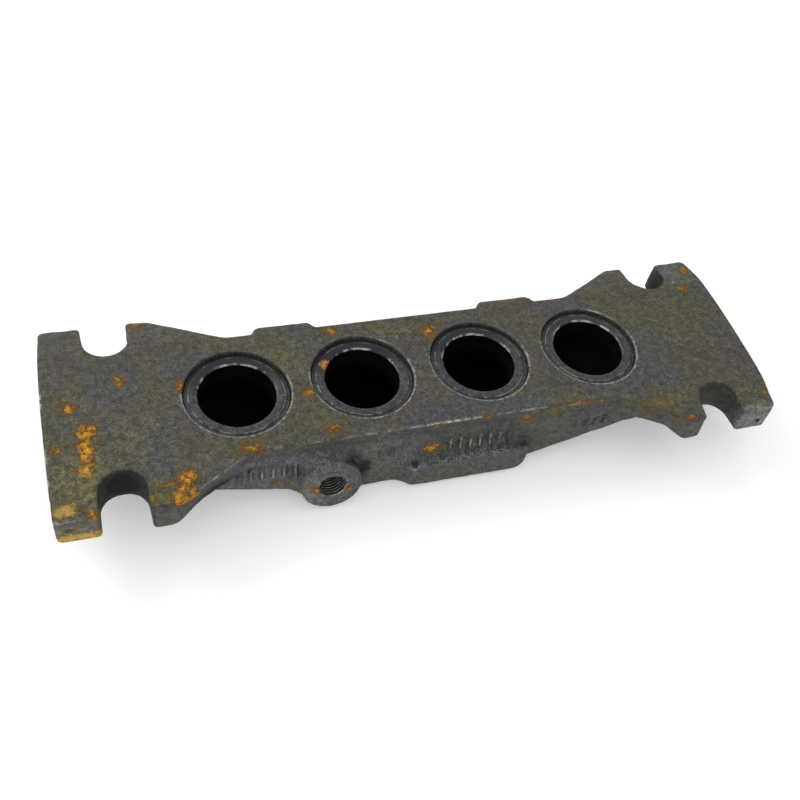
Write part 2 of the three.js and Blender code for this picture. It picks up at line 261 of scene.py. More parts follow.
def plate():
    """The flange plate with its ears, relieved under the webs."""
    top, bottom = (outline_distance(plate_outline(k), X, Y) for k in (0, 1))
    down = np.clip((HEIGHT - Z) / (HEIGHT - PLATE_BOTTOM), 0, 1)
    sides = top + (bottom - top) * down
    slab = soft_and(sides, PLATE_BOTTOM - Z, 1.6)
    relief_side = rounded_outline(
        [(0, -20, 0), (EAR_PAD_X + 40, -20, 0), (EAR_PAD_X, PLATE_BOTTOM, 5),
         (WEB_END_X, WEB_BOTTOM, 8), (0, WEB_BOTTOM, 0)]
    )
    under = outline_distance(relief_side, np.abs(X), Z)
    beside = BODY_HALF_WIDTH - 0.6 - np.abs(Y)
    return soft_and(slab, -np.maximum(under, beside), 1.6)


def body():
    """The long box under the plate, ramped up at both ends, with flared walls."""
    side = rounded_outline(
        [(LEFT_RAMP[0], 0, 40), (RIGHT_RAMP[0], 0, 40), (RIGHT_RAMP[1], PLATE_BOTTOM, 20),
         (EAR_PAD_X, PLATE_BOTTOM, 0), (EAR_PAD_X, 60, 0), (-EAR_PAD_X, 60, 0),
         (-EAR_PAD_X, PLATE_BOTTOM, 0), (LEFT_RAMP[1], PLATE_BOTTOM, 20)]
    )
    section = rounded_outline(
        [(BELLY_HALF_WIDTH, 0, 0), (BREAK_HALF_WIDTH, WALL_BREAK - 3, 3),
         (BODY_HALF_WIDTH, WALL_BREAK, 2), (BODY_HALF_WIDTH, 60, 0),
         (-BODY_HALF_WIDTH, 60, 0), (-BODY_HALF_WIDTH, WALL_BREAK, 2),
         (-BREAK_HALF_WIDTH, WALL_BREAK - 3, 3), (-BELLY_HALF_WIDTH, 0, 0)]
    )
    return soft_and(outline_distance(side, X, Z), outline_distance(section, Y, Z), 2.2)


def boss_axes():
    """How far every point is out of the boss face, and from the boss's axis."""
    out = (X - BOSS[0]) * BOSS_OUT[0] + (Y - BOSS[1]) * BOSS_OUT[1] + (Z - BOSS[2]) * BOSS_OUT[2]
    square = (X - BOSS[0]) ** 2 + (Y - BOSS[1]) ** 2 + (Z - BOSS[2]) ** 2
    return out, np.sqrt(np.maximum(square - out**2, 0))


def front_pad():
    """The low pad on the front wall, right of the boss."""
    (x0, x1), (z0, z1) = FRONT_PAD["x"], FRONT_PAD["z"]
    face = rounded_outline([(x0, z0, 7), (x1, z0, 7), (x1, z1, 3), (x0, z1, 3)])
    return soft_and(outline_distance(face, X, Z), -Y - FRONT_PAD["front"], 2.0)


def back_pad(x0, x1):
    """A short pad high on the back wall, with splayed ends."""
    root = BODY_HALF_WIDTH - 3
    outline = rounded_outline(
        [(x0 - 3.5, root, 0), (x1 + 3.5, root, 0), (x1, BACK_PAD_Y, 3.5), (x0, BACK_PAD_Y, 3.5)]
    )
    return soft_and(outline_distance(outline, X, Y), BACK_PAD_BASE - Z, 1.5)


def plenum():
    """The hollow: flat ceiling under the plate, floor parallel to the ramps."""
    left, right = PLENUM_ENDS
    rise = PLATE_BOTTOM / (LEFT_RAMP[0] - LEFT_RAMP[1])
    left_end = WALL + rise * (LEFT_RAMP[0] + 1 - left)
    rise = PLATE_BOTTOM / (RIGHT_RAMP[1] - RIGHT_RAMP[0])
    right_end = WALL + rise * (right - RIGHT_RAMP[0] + 1)
    side = rounded_outline(
        [(LEFT_RAMP[0] + 1, WALL, 30), (RIGHT_RAMP[0] - 1, WALL, 30), (right, right_end, 0),
         (right, PLENUM_CEILING, 0), (left, PLENUM_CEILING, 0), (left, left_end, 0)]
    )
    half = BODY_HALF_WIDTH - WALL
    section = rounded_outline(
        [(-half, -9, 0), (half, -9, 0), (half, PLENUM_CEILING, 4), (-half, PLENUM_CEILING, 4)]
    )
    return soft_and(outline_distance(side, X, Z), outline_distance(section, Y, Z), 1.5)


def marks():
    """Rows of raised bars on the front wall, as a pattern over the wall from 0 to 1."""
    pattern = 0.0
    for first, z, length, count in TALLY:
        nearest = first + MARK_SPACING * np.clip(np.round((X - first) / MARK_SPACING), 0, count - 1)
        along = np.clip(Z - z, -length / 2, length / 2)
        off = np.hypot(X - nearest, Z - z - along)
        pattern = np.maximum(pattern, ease(-off, -MARK_HALF_WIDTH, -0.1))
    return pattern


def casting_field():
    """The whole casting. The port face is cut last, so that its edges are all alike."""
    beyond_wall = ease(np.abs(X), BODY_HALF_STRAIGHT + 3, BODY_HALF_STRAIGHT + 14)
    field = soft_or(plate(), body(), 3.5 * beyond_wall + 0.01)

    out, radius = boss_axes()
    boss = soft_and(radius - BOSS_RADIUS, out, 1.0)
    above = ease(0.5 * (BOSS[0] - X) + 0.87 * (Z - BOSS[2]), 2, 12)
    fillet = 1.5 + np.maximum(5.5 * above, 4.5 * ease(BOSS[0] - X, 4, 12))
    field = soft_or(field, np.maximum(boss, -out - BOSS_ROOT), fillet)

    blend = 1.6 + 6.0 * ease(-X, 4, 12) + 4.0 * ease(Z, 11, 16) * ease(-X, -42, -30)
    field = soft_or(field, np.maximum(front_pad(), Y + BODY_HALF_WIDTH - 4), blend)
    for x0, x1 in BACK_PADS:
        field = soft_or(field, back_pad(x0, x1), 1.2)

    fall = EAR_SLOPE_DROP / (EAR_HALF_WIDTH - EAR_SLOPE_START)
    ear_top = (Z - HEIGHT + fall * (np.abs(Y) - EAR_SLOPE_START)) / math.hypot(1, fall)
    field = soft_and(field, np.maximum(Z - HEIGHT, ear_top), 0.8)
    field = soft_and(field, -Z, 0.6)

    field = field - MARK_HEIGHT * marks() * (Y < 4 - BODY_HALF_WIDTH)
    for x, y, z, size in PITS:
        pit = np.sqrt((X - x) ** 2 + (Y - y) ** 2 + (Z - z) ** 2) - size
        field = soft_and(field, -pit, 1.0)

    rough = 0.16 * lumps(9) + 0.12 * lumps(4) + 0.08 * lumps(2.2)
    machined = ease(Z, HEIGHT - 3.0, HEIGHT - 0.8) * ease(-np.abs(Y), -EAR_SLOPE_START - 4, -29)
    field = field + rough * (1 - 0.95 * machined)

    field = soft_and(field, -plenum(), 1.0)
    for x in PORT_X:
        around = np.hypot(X - x, Y)
        field = soft_and(field, -np.maximum(around - BORE_RADIUS, PLENUM_CEILING - 1 - Z), 0.2)
        field = soft_and(field, -np.maximum(around - SEAT_RADIUS, SEAT_LEDGE - Z), 0.35)
    width = np.where(-out < THREAD_START, THREAD_MOUTH_RADIUS, THREAD_RADIUS + 0.3)
    hole = np.maximum(radius - width, -out - HOLE_DEPTH)
    return soft_and(field, -hole, 0.25)


# ---- Meshing ---------------------------------------------------------------------------------

CASTING_TRIANGLES = 185_000


def mesh_from_field(field):
    """The field's surface as triangles, thinned out where it is flat."""
    band = 3 * STEP
    grid = openvdb.FloatGrid(background=band)
    grid.copyFromArray(np.clip(field, -band, band).astype(np.float32))
    points, quads = grid.convertToQuads(isovalue=0.0)
    points = START + points * STEP
    mesh = bpy.data.meshes.new("casting_surface")
    mesh.from_pydata(points.tolist(), [], quads.tolist())
    surface = bpy.data.objects.new("casting_surface", mesh)
    bpy.context.scene.collection.objects.link(surface)
    thin = surface.modifiers.new("thin", "DECIMATE")
    thin.ratio = min(1.0, CASTING_TRIANGLES / (2 * len(quads)))
    thin.use_collapse_triangulate = True
    evaluated = surface.evaluated_get(bpy.context.evaluated_depsgraph_get())
    thinned = bpy.data.meshes.new_from_object(evaluated)
    places = np.empty(3 * len(thinned.vertices), np.float32)
    thinned.vertices.foreach_get("co", places)
    corners = np.empty(len(thinned.loops), np.int32)
    thinned.loops.foreach_get("vertex_index", corners)
    bpy.data.objects.remove(surface)
    bpy.data.meshes.remove(mesh)
    bpy.data.meshes.remove(thinned)
    return places.reshape(-1, 3), corners.reshape(-1, 3)


def sample(field, points):
    """The field at any points, blended between its eight nearest samples."""
    place = np.clip((points - START) / STEP, 0, COUNT - 1.001)
    low = place.astype(int)
    part = place - low
    total = 0.0
    for corner in np.ndindex(2, 2, 2):
        at = low + corner
        weight = np.prod(np.where(corner, part, 1 - part), axis=1)
        total = total + weight * field[at[:, 0], at[:, 1], at[:, 2]]
    return total


def slopes(field, points):
    """Unit normals of the field at the points."""
    reach = 0.8 * STEP
    normal = np.stack(
        [sample(field, points + reach * axis) - sample(field, points - reach * axis)
         for axis in np.eye(3)], axis=1
    )
    return normal / np.maximum(np.linalg.norm(normal, axis=1, keepdims=True), 1e-9)


def thread_sleeve():
    """The boss's tapping: a left-handed helical thread on the inside of a thin sleeve."""
    around, rows, outer = 96, 120, THREAD_RADIUS + 0.8
    angle = np.linspace(0, 2 * math.pi, around, endpoint=False)
    side = np.cross(BOSS_OUT, (1.0, 0.0, 0.0))
    spokes = np.outer(np.cos(angle), (1.0, 0.0, 0.0)) + np.outer(np.sin(angle), side)
    rings, crests = [], []
    for depth in np.linspace(THREAD_START, THREAD_LENGTH, rows):
        phase = (depth / THREAD_PITCH - angle / (2 * math.pi)) % 1.0
        ridge = np.clip(1.15 - 2.3 * np.abs(phase - 0.5), 0.0, 1.0)
        cut = THREAD_RADIUS - THREAD_DEPTH * ridge - THREAD_TAPER * depth
        rings.append((cut, depth))
        crests.append(ridge)
    wall = np.full(around, outer)
    rings += [(wall, THREAD_LENGTH), (wall, THREAD_START)]
    crests += [np.zeros(around)] * 2
    points = np.concatenate([BOSS + radius[:, None] * spokes - depth * BOSS_OUT
                             for radius, depth in rings])
    faces = []
    for row in range(len(rings)):
        below = (row + 1) % len(rings)
        for i in range(around):
            j = (i + 1) % around
            a, b = row * around + i, row * around + j
            c, d = below * around + j, below * around + i
            faces += [(a, b, c), (a, c, d)]
    return points, np.array(faces), np.concatenate(crests)


def new_object(name, points, faces, material):
    """A mesh object in metres from points in millimetres."""
    mesh = bpy.data.meshes.new(name)
    mesh.from_pydata((np.asarray(points) * MM).tolist(), [], np.asarray(faces).tolist())
    mesh.validate()
    mesh.polygons.foreach_set("use_smooth", [True] * len(mesh.polygons))
    mesh.materials.append(material)
    made = bpy.data.objects.new(name, mesh)
    bpy.context.scene.collection.objects.link(made)
    return made


def give_values(mesh, name, values):
    """Stores one number per vertex, for the material."""
    layer = mesh.attributes.new(name, "FLOAT", "POINT")
    layer.data.foreach_set("value", np.asarray(values, np.float32))


def bend_of(field, points, normals):
    """How sharply the surface bends: positive on edges, negative in corners."""
    side = np.cross(normals, (0.31, 0.57, 0.76))
    side /= np.linalg.norm(side, axis=1, keepdims=True)
    other = np.cross(normals, side)
    reach = 1.3
    tips = [side, -side, other, -other]
    return np.mean([sample(field, points + reach * tip) for tip in tips], axis=0) / reach


def shelter_of(field, points, normals):
    """How much other surfaces crowd each point, from 0 in the open."""
    shut = np.zeros(len(points))
    distances = (2.0, 4.0, 7.0, 11.0)
    for distance in distances:
        reached = points + distance * normals
        within = np.clip(reached, START, START + STEP * (COUNT - 1.001))
        clear = sample(field, within) + np.linalg.norm(reached - within, axis=1)
        shut += np.clip(1 - clear / distance, 0, 1) / len(distances)
    return shut


def slot_shade(points, normals):
    """How dark the walls of the bolt slots are painted as shade, less so toward their mouths."""
    painted_shade = np.zeros(len(points))
    for (side_x, side_y), corner in CORNERS.items():
        deep = points[:, 1] * side_y > corner["bottom"] - 2
        near = np.abs(points[:, 0] * side_x - corner["slot"]) < SLOT_RADIUS + 1.6
        upright = np.abs(normals[:, 2]) < 0.6
        amount = corner["painted_shade"] * (1 - 0.25 * ease(np.abs(points[:, 1]), 38, 47))
        walls = deep & near & upright & (points[:, 2] > PLATE_BOTTOM)
        painted_shade = np.maximum(painted_shade, amount * walls)
    return painted_shade


def build_casting(skin, shade_material, thread):
    """The casting and its thread as one object, with what its materials need on the vertices."""
    field = casting_field()
    points, faces = mesh_from_field(field)
    normals = slopes(field, points)
    bend = bend_of(field, points, normals)
    shut = shelter_of(field, points, normals)

    sleeve_points, sleeve_faces, crests = thread_sleeve()
    made = new_object(
        "casting",
        np.concatenate((points, sleeve_points)),
        np.concatenate((faces, sleeve_faces + len(points))),
        skin,
    )
    mesh = made.data
    mesh.materials.append(shade_material)
    mesh.materials.append(thread)
    # Faces of the hollow and the bores take the near-black painted shade
    dark = inside_of(points)[faces].mean(axis=1) > 0.5
    slots = np.concatenate((dark.astype(int), np.full(len(sleeve_faces), 2)))
    mesh.polygons.foreach_set("material_index", slots)

    # Painted shade: darker where other surfaces crowd a point, black on the seats' walls and on the
    # slots' walls
    seat = np.min([np.abs(np.hypot(points[:, 0] - x, points[:, 1]) - SEAT_RADIUS)
                   for x in PORT_X], axis=0)
    seat_wall = (seat < 0.45) & (points[:, 2] < HEIGHT - 0.8)
    shelter_shade = np.maximum(np.maximum(shut * 1.6, seat_wall), slot_shade(points, normals))
    # Painted highlight on each seat's rim, full on the front half and faint at the back
    rim = (seat < 0.7) * (points[:, 2] > HEIGHT - 0.55) * np.where(points[:, 1] < 6, 1.0, 0.2)
    tail = np.zeros(len(sleeve_points))
    give_values(mesh, "rim", np.concatenate((rim, tail)))
    give_values(mesh, "wear", np.concatenate((np.clip(bend * 6 - 0.9, 0, 1), tail)))
    give_values(mesh, "shelter_shade", np.concatenate((np.clip(shelter_shade, 0, 1), tail)))
    give_values(mesh, "crest", np.concatenate((np.zeros(len(points)), crests)))

    smooth_normals = np.empty(3 * len(mesh.vertices), np.float32)
    mesh.vertices.foreach_get("normal", smooth_normals)
    smooth_normals = smooth_normals.reshape(-1, 3)
    smooth_normals[: len(points)] = normals
    mesh.normals_split_custom_set_from_vertices(smooth_normals.tolist())
    return made


def inside_of(points):
    """1 on the surfaces of the hollow and the bores, 0 outside."""
    x, y, z = points.T
    bore = np.zeros(len(points))
    for port in PORT_X:
        bore = np.maximum(bore, np.hypot(x - port, y) < SEAT_RADIUS + 0.6)
    left, right = PLENUM_ENDS
    half = BODY_HALF_WIDTH - WALL
    hollow = (np.abs(y) < half + 0.4) & (x > left - 0.6) & (x < right + 0.6) & (z > WALL - 1.2)
    up_left = (LEFT_RAMP[0] - x) / (LEFT_RAMP[0] - LEFT_RAMP[1])
    up_right = (x - RIGHT_RAMP[0]) / (RIGHT_RAMP[1] - RIGHT_RAMP[0])
    floor = PLATE_BOTTOM * np.maximum(0, np.maximum(up_left, up_right))
    hollow &= (z < PLENUM_CEILING + 0.4) & (z > WALL - 1.2 + floor - 1.0)
    return np.maximum(bore * (z < SEAT_LEDGE + 0.3), hollow)


RING_PROFILE = (
    # radius, height above the ring's underside
    (BORE_RADIUS, 0.25),
    (BORE_RADIUS + 0.25, 0.0),
    (RING_OUTER - 0.25, 0.0),
    (RING_OUTER, 0.25),
    (RING_OUTER, RING_THICKNESS - 0.75),
    (RING_OUTER - 0.2, RING_THICKNESS - 0.5),
    (RING_SHOULDER + 0.3, RING_THICKNESS - 0.5),
    (RING_SHOULDER + 0.1, RING_THICKNESS - 0.42),
    (RING_SHOULDER, RING_THICKNESS - 0.1),
    (RING_SHOULDER - 0.12, RING_THICKNESS),
    (BORE_RADIUS + 0.7, RING_THICKNESS),
    (BORE_RADIUS + 0.55, RING_THICKNESS - 0.05),
    (BORE_RADIUS + 0.05, RING_THICKNESS - 0.6),
    (BORE_RADIUS, RING_THICKNESS - 0.75),
)
# The profile's steps on its underside, its outer wall and its bore, which take the near-black
# painted shade
RING_DARK_ROWS = (0, 1, 2, 3, 4, 12, 13)


def build_ring(index, port, face, shade_material):
    """A turned seat ring, its origin on the port's axis at the ring's underside."""
    around = 192
    angle = np.linspace(0, 2 * math.pi, around, endpoint=False)
    points = np.concatenate(
        [np.stack((r * np.cos(angle), r * np.sin(angle), np.full(around, z)), axis=1)
         for r, z in RING_PROFILE]
    )
    faces = []
    for row in range(len(RING_PROFILE)):
        above = (row + 1) % len(RING_PROFILE)
        for i in range(around):
            j = (i + 1) % around
            faces.append((row * around + j, row * around + i,
                          above * around + i, above * around + j))
    made = new_object(f"ring_{index}", points, faces, face)
    made.data.materials.append(shade_material)
    hidden = [row in RING_DARK_ROWS for row in range(len(RING_PROFILE)) for _ in range(around)]
    made.data.polygons.foreach_set("material_index", np.array(hidden, int))
    made.location = (port * MM, 0, RING_BOTTOM * MM)
    made.data.set_sharp_from_angle(angle=math.radians(25))
    return made


# ---- Material nodes --------------------------------------------------------------------------


class Nodes:
    """Adds shader nodes to one material and joins them. Inputs are sockets or plain values."""

    def __init__(self, name):
        self.material = bpy.data.materials.new(name)
        self.material.use_nodes = True
        self.tree = self.material.node_tree
        self.tree.nodes.clear()

    def add(self, kind, inputs=None, **settings):
        made = self.tree.nodes.new(kind)
        for key, value in settings.items():
            setattr(made, key, value)
        for key, value in (inputs or {}).items():
            if isinstance(value, bpy.types.NodeSocket):
                self.tree.links.new(value, made.inputs[key])
            else:
                made.inputs[key].default_value = value
        return made

    def maths(self, operation, a, b=0.0, clamp=False):
        made = self.add("ShaderNodeMath", {0: a, 1: b}, operation=operation)
        made.use_clamp = clamp
        return made.outputs[0]

    def highest(self, values):
        """The highest of several values at each point."""
        total, *others = values
        for value in others:
            total = self.maths("MAXIMUM", total, value)
        return total

    def mix(self, factor, a, b, blend="MIX"):
        made = self.add("ShaderNodeMix", {0: factor, 6: a, 7: b}, data_type="RGBA")
        made.blend_type = blend
        return made.outputs[2]

    def between(self, value, low, high, to_low=0.0, to_high=1.0):
        """The value's place between low and high, as a smooth step."""
        made = self.add(
            "ShaderNodeMapRange",
            {"Value": value, "From Min": low, "From Max": high,
             "To Min": to_low, "To Max": to_high},
            interpolation_type="SMOOTHSTEP",
        )
        return made.outputs[0]

    def noise(self, place, scale, detail=3.0, roughness=0.55):
        """Smooth noise round 0.5; scale is in waves per unit of the place."""
        made = self.add(
            "ShaderNodeTexNoise",
            {"Vector": place, "Scale": scale, "Detail": detail, "Roughness": roughness},
        )
        return made.outputs["Fac"]

    def place(self, origin, scale=(1, 1, 1), turn=(0, 0, 0), move=(0, 0, 0), kind="POINT"):
        """A place scaled, turned and moved."""
        made = self.add(
            "ShaderNodeMapping",
            {"Vector": origin, "Location": move, "Rotation": turn, "Scale": scale},
            vector_type=kind,
        )
        return made.outputs[0]

    def millimetres(self):
        """The place on the object in millimetres, from its own origin."""
        coords = self.add("ShaderNodeTexCoord").outputs["Object"]
        return self.place(coords, scale=(1 / MM,) * 3)

    def bump(self, height, strength, depth):
        """A normal bumped by the height; depth is in millimetres."""
        made = self.add(
            "ShaderNodeBump", {"Height": height, "Strength": strength, "Distance": depth * MM}
        )
        return made.outputs[0]

    def value(self, name):
        """A number stored on the mesh's vertices."""
        return self.add("ShaderNodeAttribute", attribute_name=name).outputs["Fac"]

    def finish(self, surface):
        self.add("ShaderNodeOutputMaterial", {"Surface": surface})
        return self.material


# Patches of each look, including painted light and shade, placed to match the real casting: x, y, z
# and the three half sizes in millimetres, turn about Z in degrees, strength

# Rust
RUST = (
    (-147.5, 3, 36, 5.5, 4.5, 3, 0, 1.2),
    (-149.5, 8, 36, 3.5, 4, 3, 0, 0.75),
    (-153.5, -17, 36, 4.5, 4, 3, 0, 1.1),
    (-142, -10, 36, 7, 7, 3, 0, 1.5),
    (-143.2, -19, 36, 5, 12, 3, 0, 1.6),
    (-143.8, -27.5, 36, 5.5, 5.5, 3, 0, 1.35),
    (-127, 14, 36, 5, 5.5, 3, 0, 1.0),
    (-116.5, 44.5, 33.6, 6, 4, 3, 0, 0.9),
    (-103.2, 7.4, 36, 4.5, 5, 3, 0, 1.2),
    (-152.5, -43, 34, 9, 5, 3, 20, 1.1),
    (-143.5, -46, 33.4, 5, 4, 5, 0, 1.15),
    (-107, -37.4, 35, 6, 6, 3, 0, 1.6),
    (-111, -45.2, 33.6, 5.5, 5.5, 4, 0, 1.6),
    (-106.4, -44, 33, 5, 5, 5, 0, 1.3),
    (-110, -41, 34.4, 5, 5, 3, 0, 1.3),
    (-115.3, -38.8, 34.7, 8, 2.2, 3, 10, 1.1),
    (-121.5, -42, 34, 4, 6, 4, 0, 0.7),
    (-81.5, -28.5, 36, 9, 6, 5, 0, 0.95),
    (-52.5, -5, 36, 5.5, 5, 3, 0, 1.05),
    (-34.8, 27, 36, 6, 5, 3, 0, 1.0),
    (-15.7, 27.5, 36, 4.5, 3, 3, 0, 0.6),
    (9.4, 20, 36, 8, 8, 3, 0, 1.05),
    (24.3, 27, 36, 4, 3, 3, 0, 0.7),
    (-45.7, -25, 36, 6.5, 6.5, 3, 0, 0.9),
    (-41, -20, 36, 4, 4, 3, 0, 0.5),
    (-2.7, -31, 34, 4, 4, 3, 0, 0.9),
    (-4, -31.8, 21, 8, 3, 7, 0, 1.05),
    (19.5, -31, 35.6, 8, 3.5, 3, 0, 0.65),
    (40.2, -31, 31, 8, 3.5, 5, 0, 0.8),
    (52, -31, 31, 7, 3.5, 5, 0, 0.7),
    (59.7, -31, 35, 12, 5, 3, 0, 0.7),
    (74, -32, 35, 14, 5, 4, 0, 0.65),
    (92, -38, 34.5, 10, 5, 4, -25, 0.85),
    (98, -44, 33.5, 7, 4, 4, -20, 0.85),
    (72, 28.6, 36, 4, 3, 3, 0, 0.75),
    (53, 31, 36, 7, 3, 3, 0, 0.6),
    (101, 32.4, 35.8, 4, 3, 3, 0, 0.7),
    (144.6, 27.3, 36, 5, 4.5, 3, 0, 1.1),
    (151.5, 39.6, 34.6, 4.5, 6, 3, 0, 1.1),
    (112.9, -46, 33, 3.5, 3.5, 3, 0, 1.1),
    (108, -45, 32, 7, 4, 4, -20, 0.6),
    (100, -36, 35, 16, 7, 4, -15, 0.6),
    (154.4, -40, 34.5, 3.5, 4, 4, 0, 0.8),
    (-71, -32.4, 14.2, 5, 3, 4, 0, 0.8),
    (-63.5, -32.4, 15.2, 4, 3, 4, 0, 0.8),
    (-54.8, -38.8, 12.6, 4.5, 3, 4, 0, 0.9),
    (-40.2, -39, 10.6, 4, 3, 3.5, 0, 0.7),
    (-150, -47.5, 28, 11, 3, 10, 0, 0.4),
    (-150, -47.5, 19.4, 24, 4, 6.5, 0, 2.2),
)
# Painted shade: black where the casting is sheltered or shadowed
SHADE_PATCHES = (
    (-131.5, -31, 27, 13, 7, 13, 0, 2.2),
    (131, -29, 30, 12, 5, 7, 0, 1.0),
    (-96, -39.3, 25, 21, 4, 10, 29, 1.7),
    (-11.5, -36.6, 17.4, 4, 4, 4, 0, 1.3),
    (-33, -34, 15, 7, 7, 11, 0, 1.8),
    (-38, -33, 23, 7, 4, 5, 0, 1.3),
    (12, -31.5, 26, 40, 3, 8, 0, 0.5),
    (-54, -31.5, 31, 44, 3, 5, 0, 0.55),
    (-22, -31, 23, 12, 2.5, 6, 0, 1.0),
    (44, -33, 13, 5, 6, 6, 0, 0.9),
)
# Painted highlights: light grains on the rounded parts of the wall
HIGHLIGHT_GRAINS = (
    (14, -37, 17.5, 34, 4, 4.5, 0, 1.9),
    (-52, -36, 25, 11, 5, 5, 0, 1.2),
    (-78, -18, 36, 8, 5, 3, 0, 0.8),
    (45, -36, 9, 3, 3, 7, 0, 1.0),
    (144, 31.6, 36, 15, 1.4, 3, 0, 2.6),
    (149, -47, 27, 15, 5, 12, 0, 0.9),
)
# Olive tarnish
TARNISH = (
    (-148, -36, 36, 30, 24, 8, 0, 1.5),
    (-153, -42, 34, 12, 8, 6, 0, 2.0),
    (-122, -20, 36, 26, 18, 8, 20, 0.9),
    (-118, -42, 34, 10, 14, 8, 0, 0.9),
    (-14.5, -35.5, 10, 7, 5, 6, 0, 3.0),
    (-60, 14, 36, 22, 16, 6, 0, 0.7),
    (-8, 24, 36, 24, 10, 6, 0, 0.8),
    (60, -31, 34, 30, 8, 8, 0, 1.1),
    (104, 4, 36, 12, 14, 6, 0, 0.5),
    (127, 2, 36, 9, 18, 6, 0, 0.5),
    (104, -37, 35, 28, 12, 8, 0, 1.0),
    (84, -33, 34, 24, 7, 7, 0, 1.3),
    (146, -38, 36, 14, 10, 6, 0, 0.9),
    (-150, -47.5, 26, 16, 4, 14, 0, 2.2),
    (-92, -39, 28, 14, 5, 8, 29, 1.0),
)
# Painted light: walls and ear faces made brighter where more light falls on them, and the brightest
# places
PAINTED_LIGHT = (
    (-80, -34, 20, 60, 8, 26, 0, 1.0),
    (-48, -39, 12, 18, 6, 18, 0, 1.0),
    (-25, -32, 20, 26, 7, 20, 0, 0.7),
    (142, 42, 34, 18, 10, 8, 0, 1.0),
    (148, -47, 28, 16, 5, 14, 0, 1.4),
    (-151, -47.5, 27, 16, 4, 14, 0, 0.7),
)
PAINTED_LIGHT_BRIGHTEST = ((149, -47.5, 27, 16, 6, 13, 0, 1.4), (-58, -39, 12, 9, 5, 12, 0, 1.3))
# Bluish skin
BLUISH = (
    (20, -26, 36, 60, 10, 8, 0, 0.4),
    (100, -14, 36, 22, 20, 8, 0, 0.35),
    (-70, -34, 22, 40, 6, 12, 0, 0.35),
    (-8, -31, 27, 16, 3, 8, 0, 0.35),
    (14, -37, 17.5, 34, 4, 5, 0, 0.35),
)
# Rust on the seat rings
RING_RUST = ((-40.8, 9.2, 34.2, 5, 5, 5, 0, 1.15), (67, 6, 34.2, 3, 4, 3, 0, 0.8))
# Bright wear, and painted highlights along edges and on the raised bars
WEAR_AND_HIGHLIGHTS = (
    (-30, -31, 36, 20, 4, 4, 0, 0.5),
    (2, -31, 36, 26, 4, 4, 0, 1.6),
    (34, -31, 36, 16, 4, 4, 0, 0.8),
    (-157.5, 9, 34, 4, 6, 8, 0, 1.8),
    (-157.6, -19, 34, 4, 5, 8, 0, 1.6),
    (-157.6, -29.6, 34, 4, 4, 8, 0, 1.2),
    (150, -47, 32, 11, 4, 5, 0, 1.2),
    (10, -37, 16, 36, 4, 4, 0, 2.0),
    (94, 19, 36, 10, 7, 3, -50, 1.6),
    (-14, 18, 36, 7, 6, 3, -50, 1.2),
    (-97, -39, 35, 20, 5, 4, 29, 0.8),
    (-150, -46.5, 33, 14, 4, 4, 0, 1.2),
    (-44, -39, 10, 6, 5, 5, 0, 2.0),
    (16, -32.5, 22.4, 17, 4, 5, 0, 0.8),
    (-71, -32.5, 21.6, 15, 4, 5, 0, 0.45),
)


def patches(nodes, place, rows):
    """1 in the middle of each patch of the list, times its strength, falling to 0 at its rim."""
    amounts = []
    for x, y, z, across, along, up, turn, strength in rows:
        local = nodes.place(
            place, scale=(across, along, up), turn=(0, 0, math.radians(turn)),
            move=(x, y, z), kind="TEXTURE",
        )
        ball = nodes.add("ShaderNodeTexGradient", {"Vector": local}, gradient_type="SPHERICAL")
        amounts.append(nodes.maths("MULTIPLY", ball.outputs["Fac"], strength))
    return nodes.highest(amounts)


def rgb(red, green, blue):
    """A colour given as display values from 0 to 255, as the linear colour a socket takes."""
    linear = [((c / 255 + 0.055) / 1.055) ** 2.4 if c > 10 else c / 3294.6
              for c in (red, green, blue)]
    return (*linear, 1.0)


GREY, WARM_GREY = rgb(62, 61, 58), rgb(76, 73, 62)
OLIVE, TARNISHED, BLUE_GREY = rgb(73, 73, 49), rgb(94, 91, 50), rgb(64, 67, 71)
SHADED, SPECKLED, SCRATCHED = rgb(36, 33, 35), rgb(26, 26, 28), rgb(94, 92, 82)
BARE_METAL_AND_HIGHLIGHT, HIGHLIGHT_GRAIN_COLOUR, SHADE_BLACK = rgb(188, 187, 178), rgb(128, 132, 134), rgb(14, 14, 20)
RUST_RIM, RUST_MIDDLE, RUST_STAIN = rgb(118, 86, 40), rgb(202, 142, 26), rgb(88, 76, 40)
RUST_DARK, RUST_PALE, RUST_OCHRE = rgb(84, 52, 22), rgb(216, 164, 78), rgb(186, 160, 86)


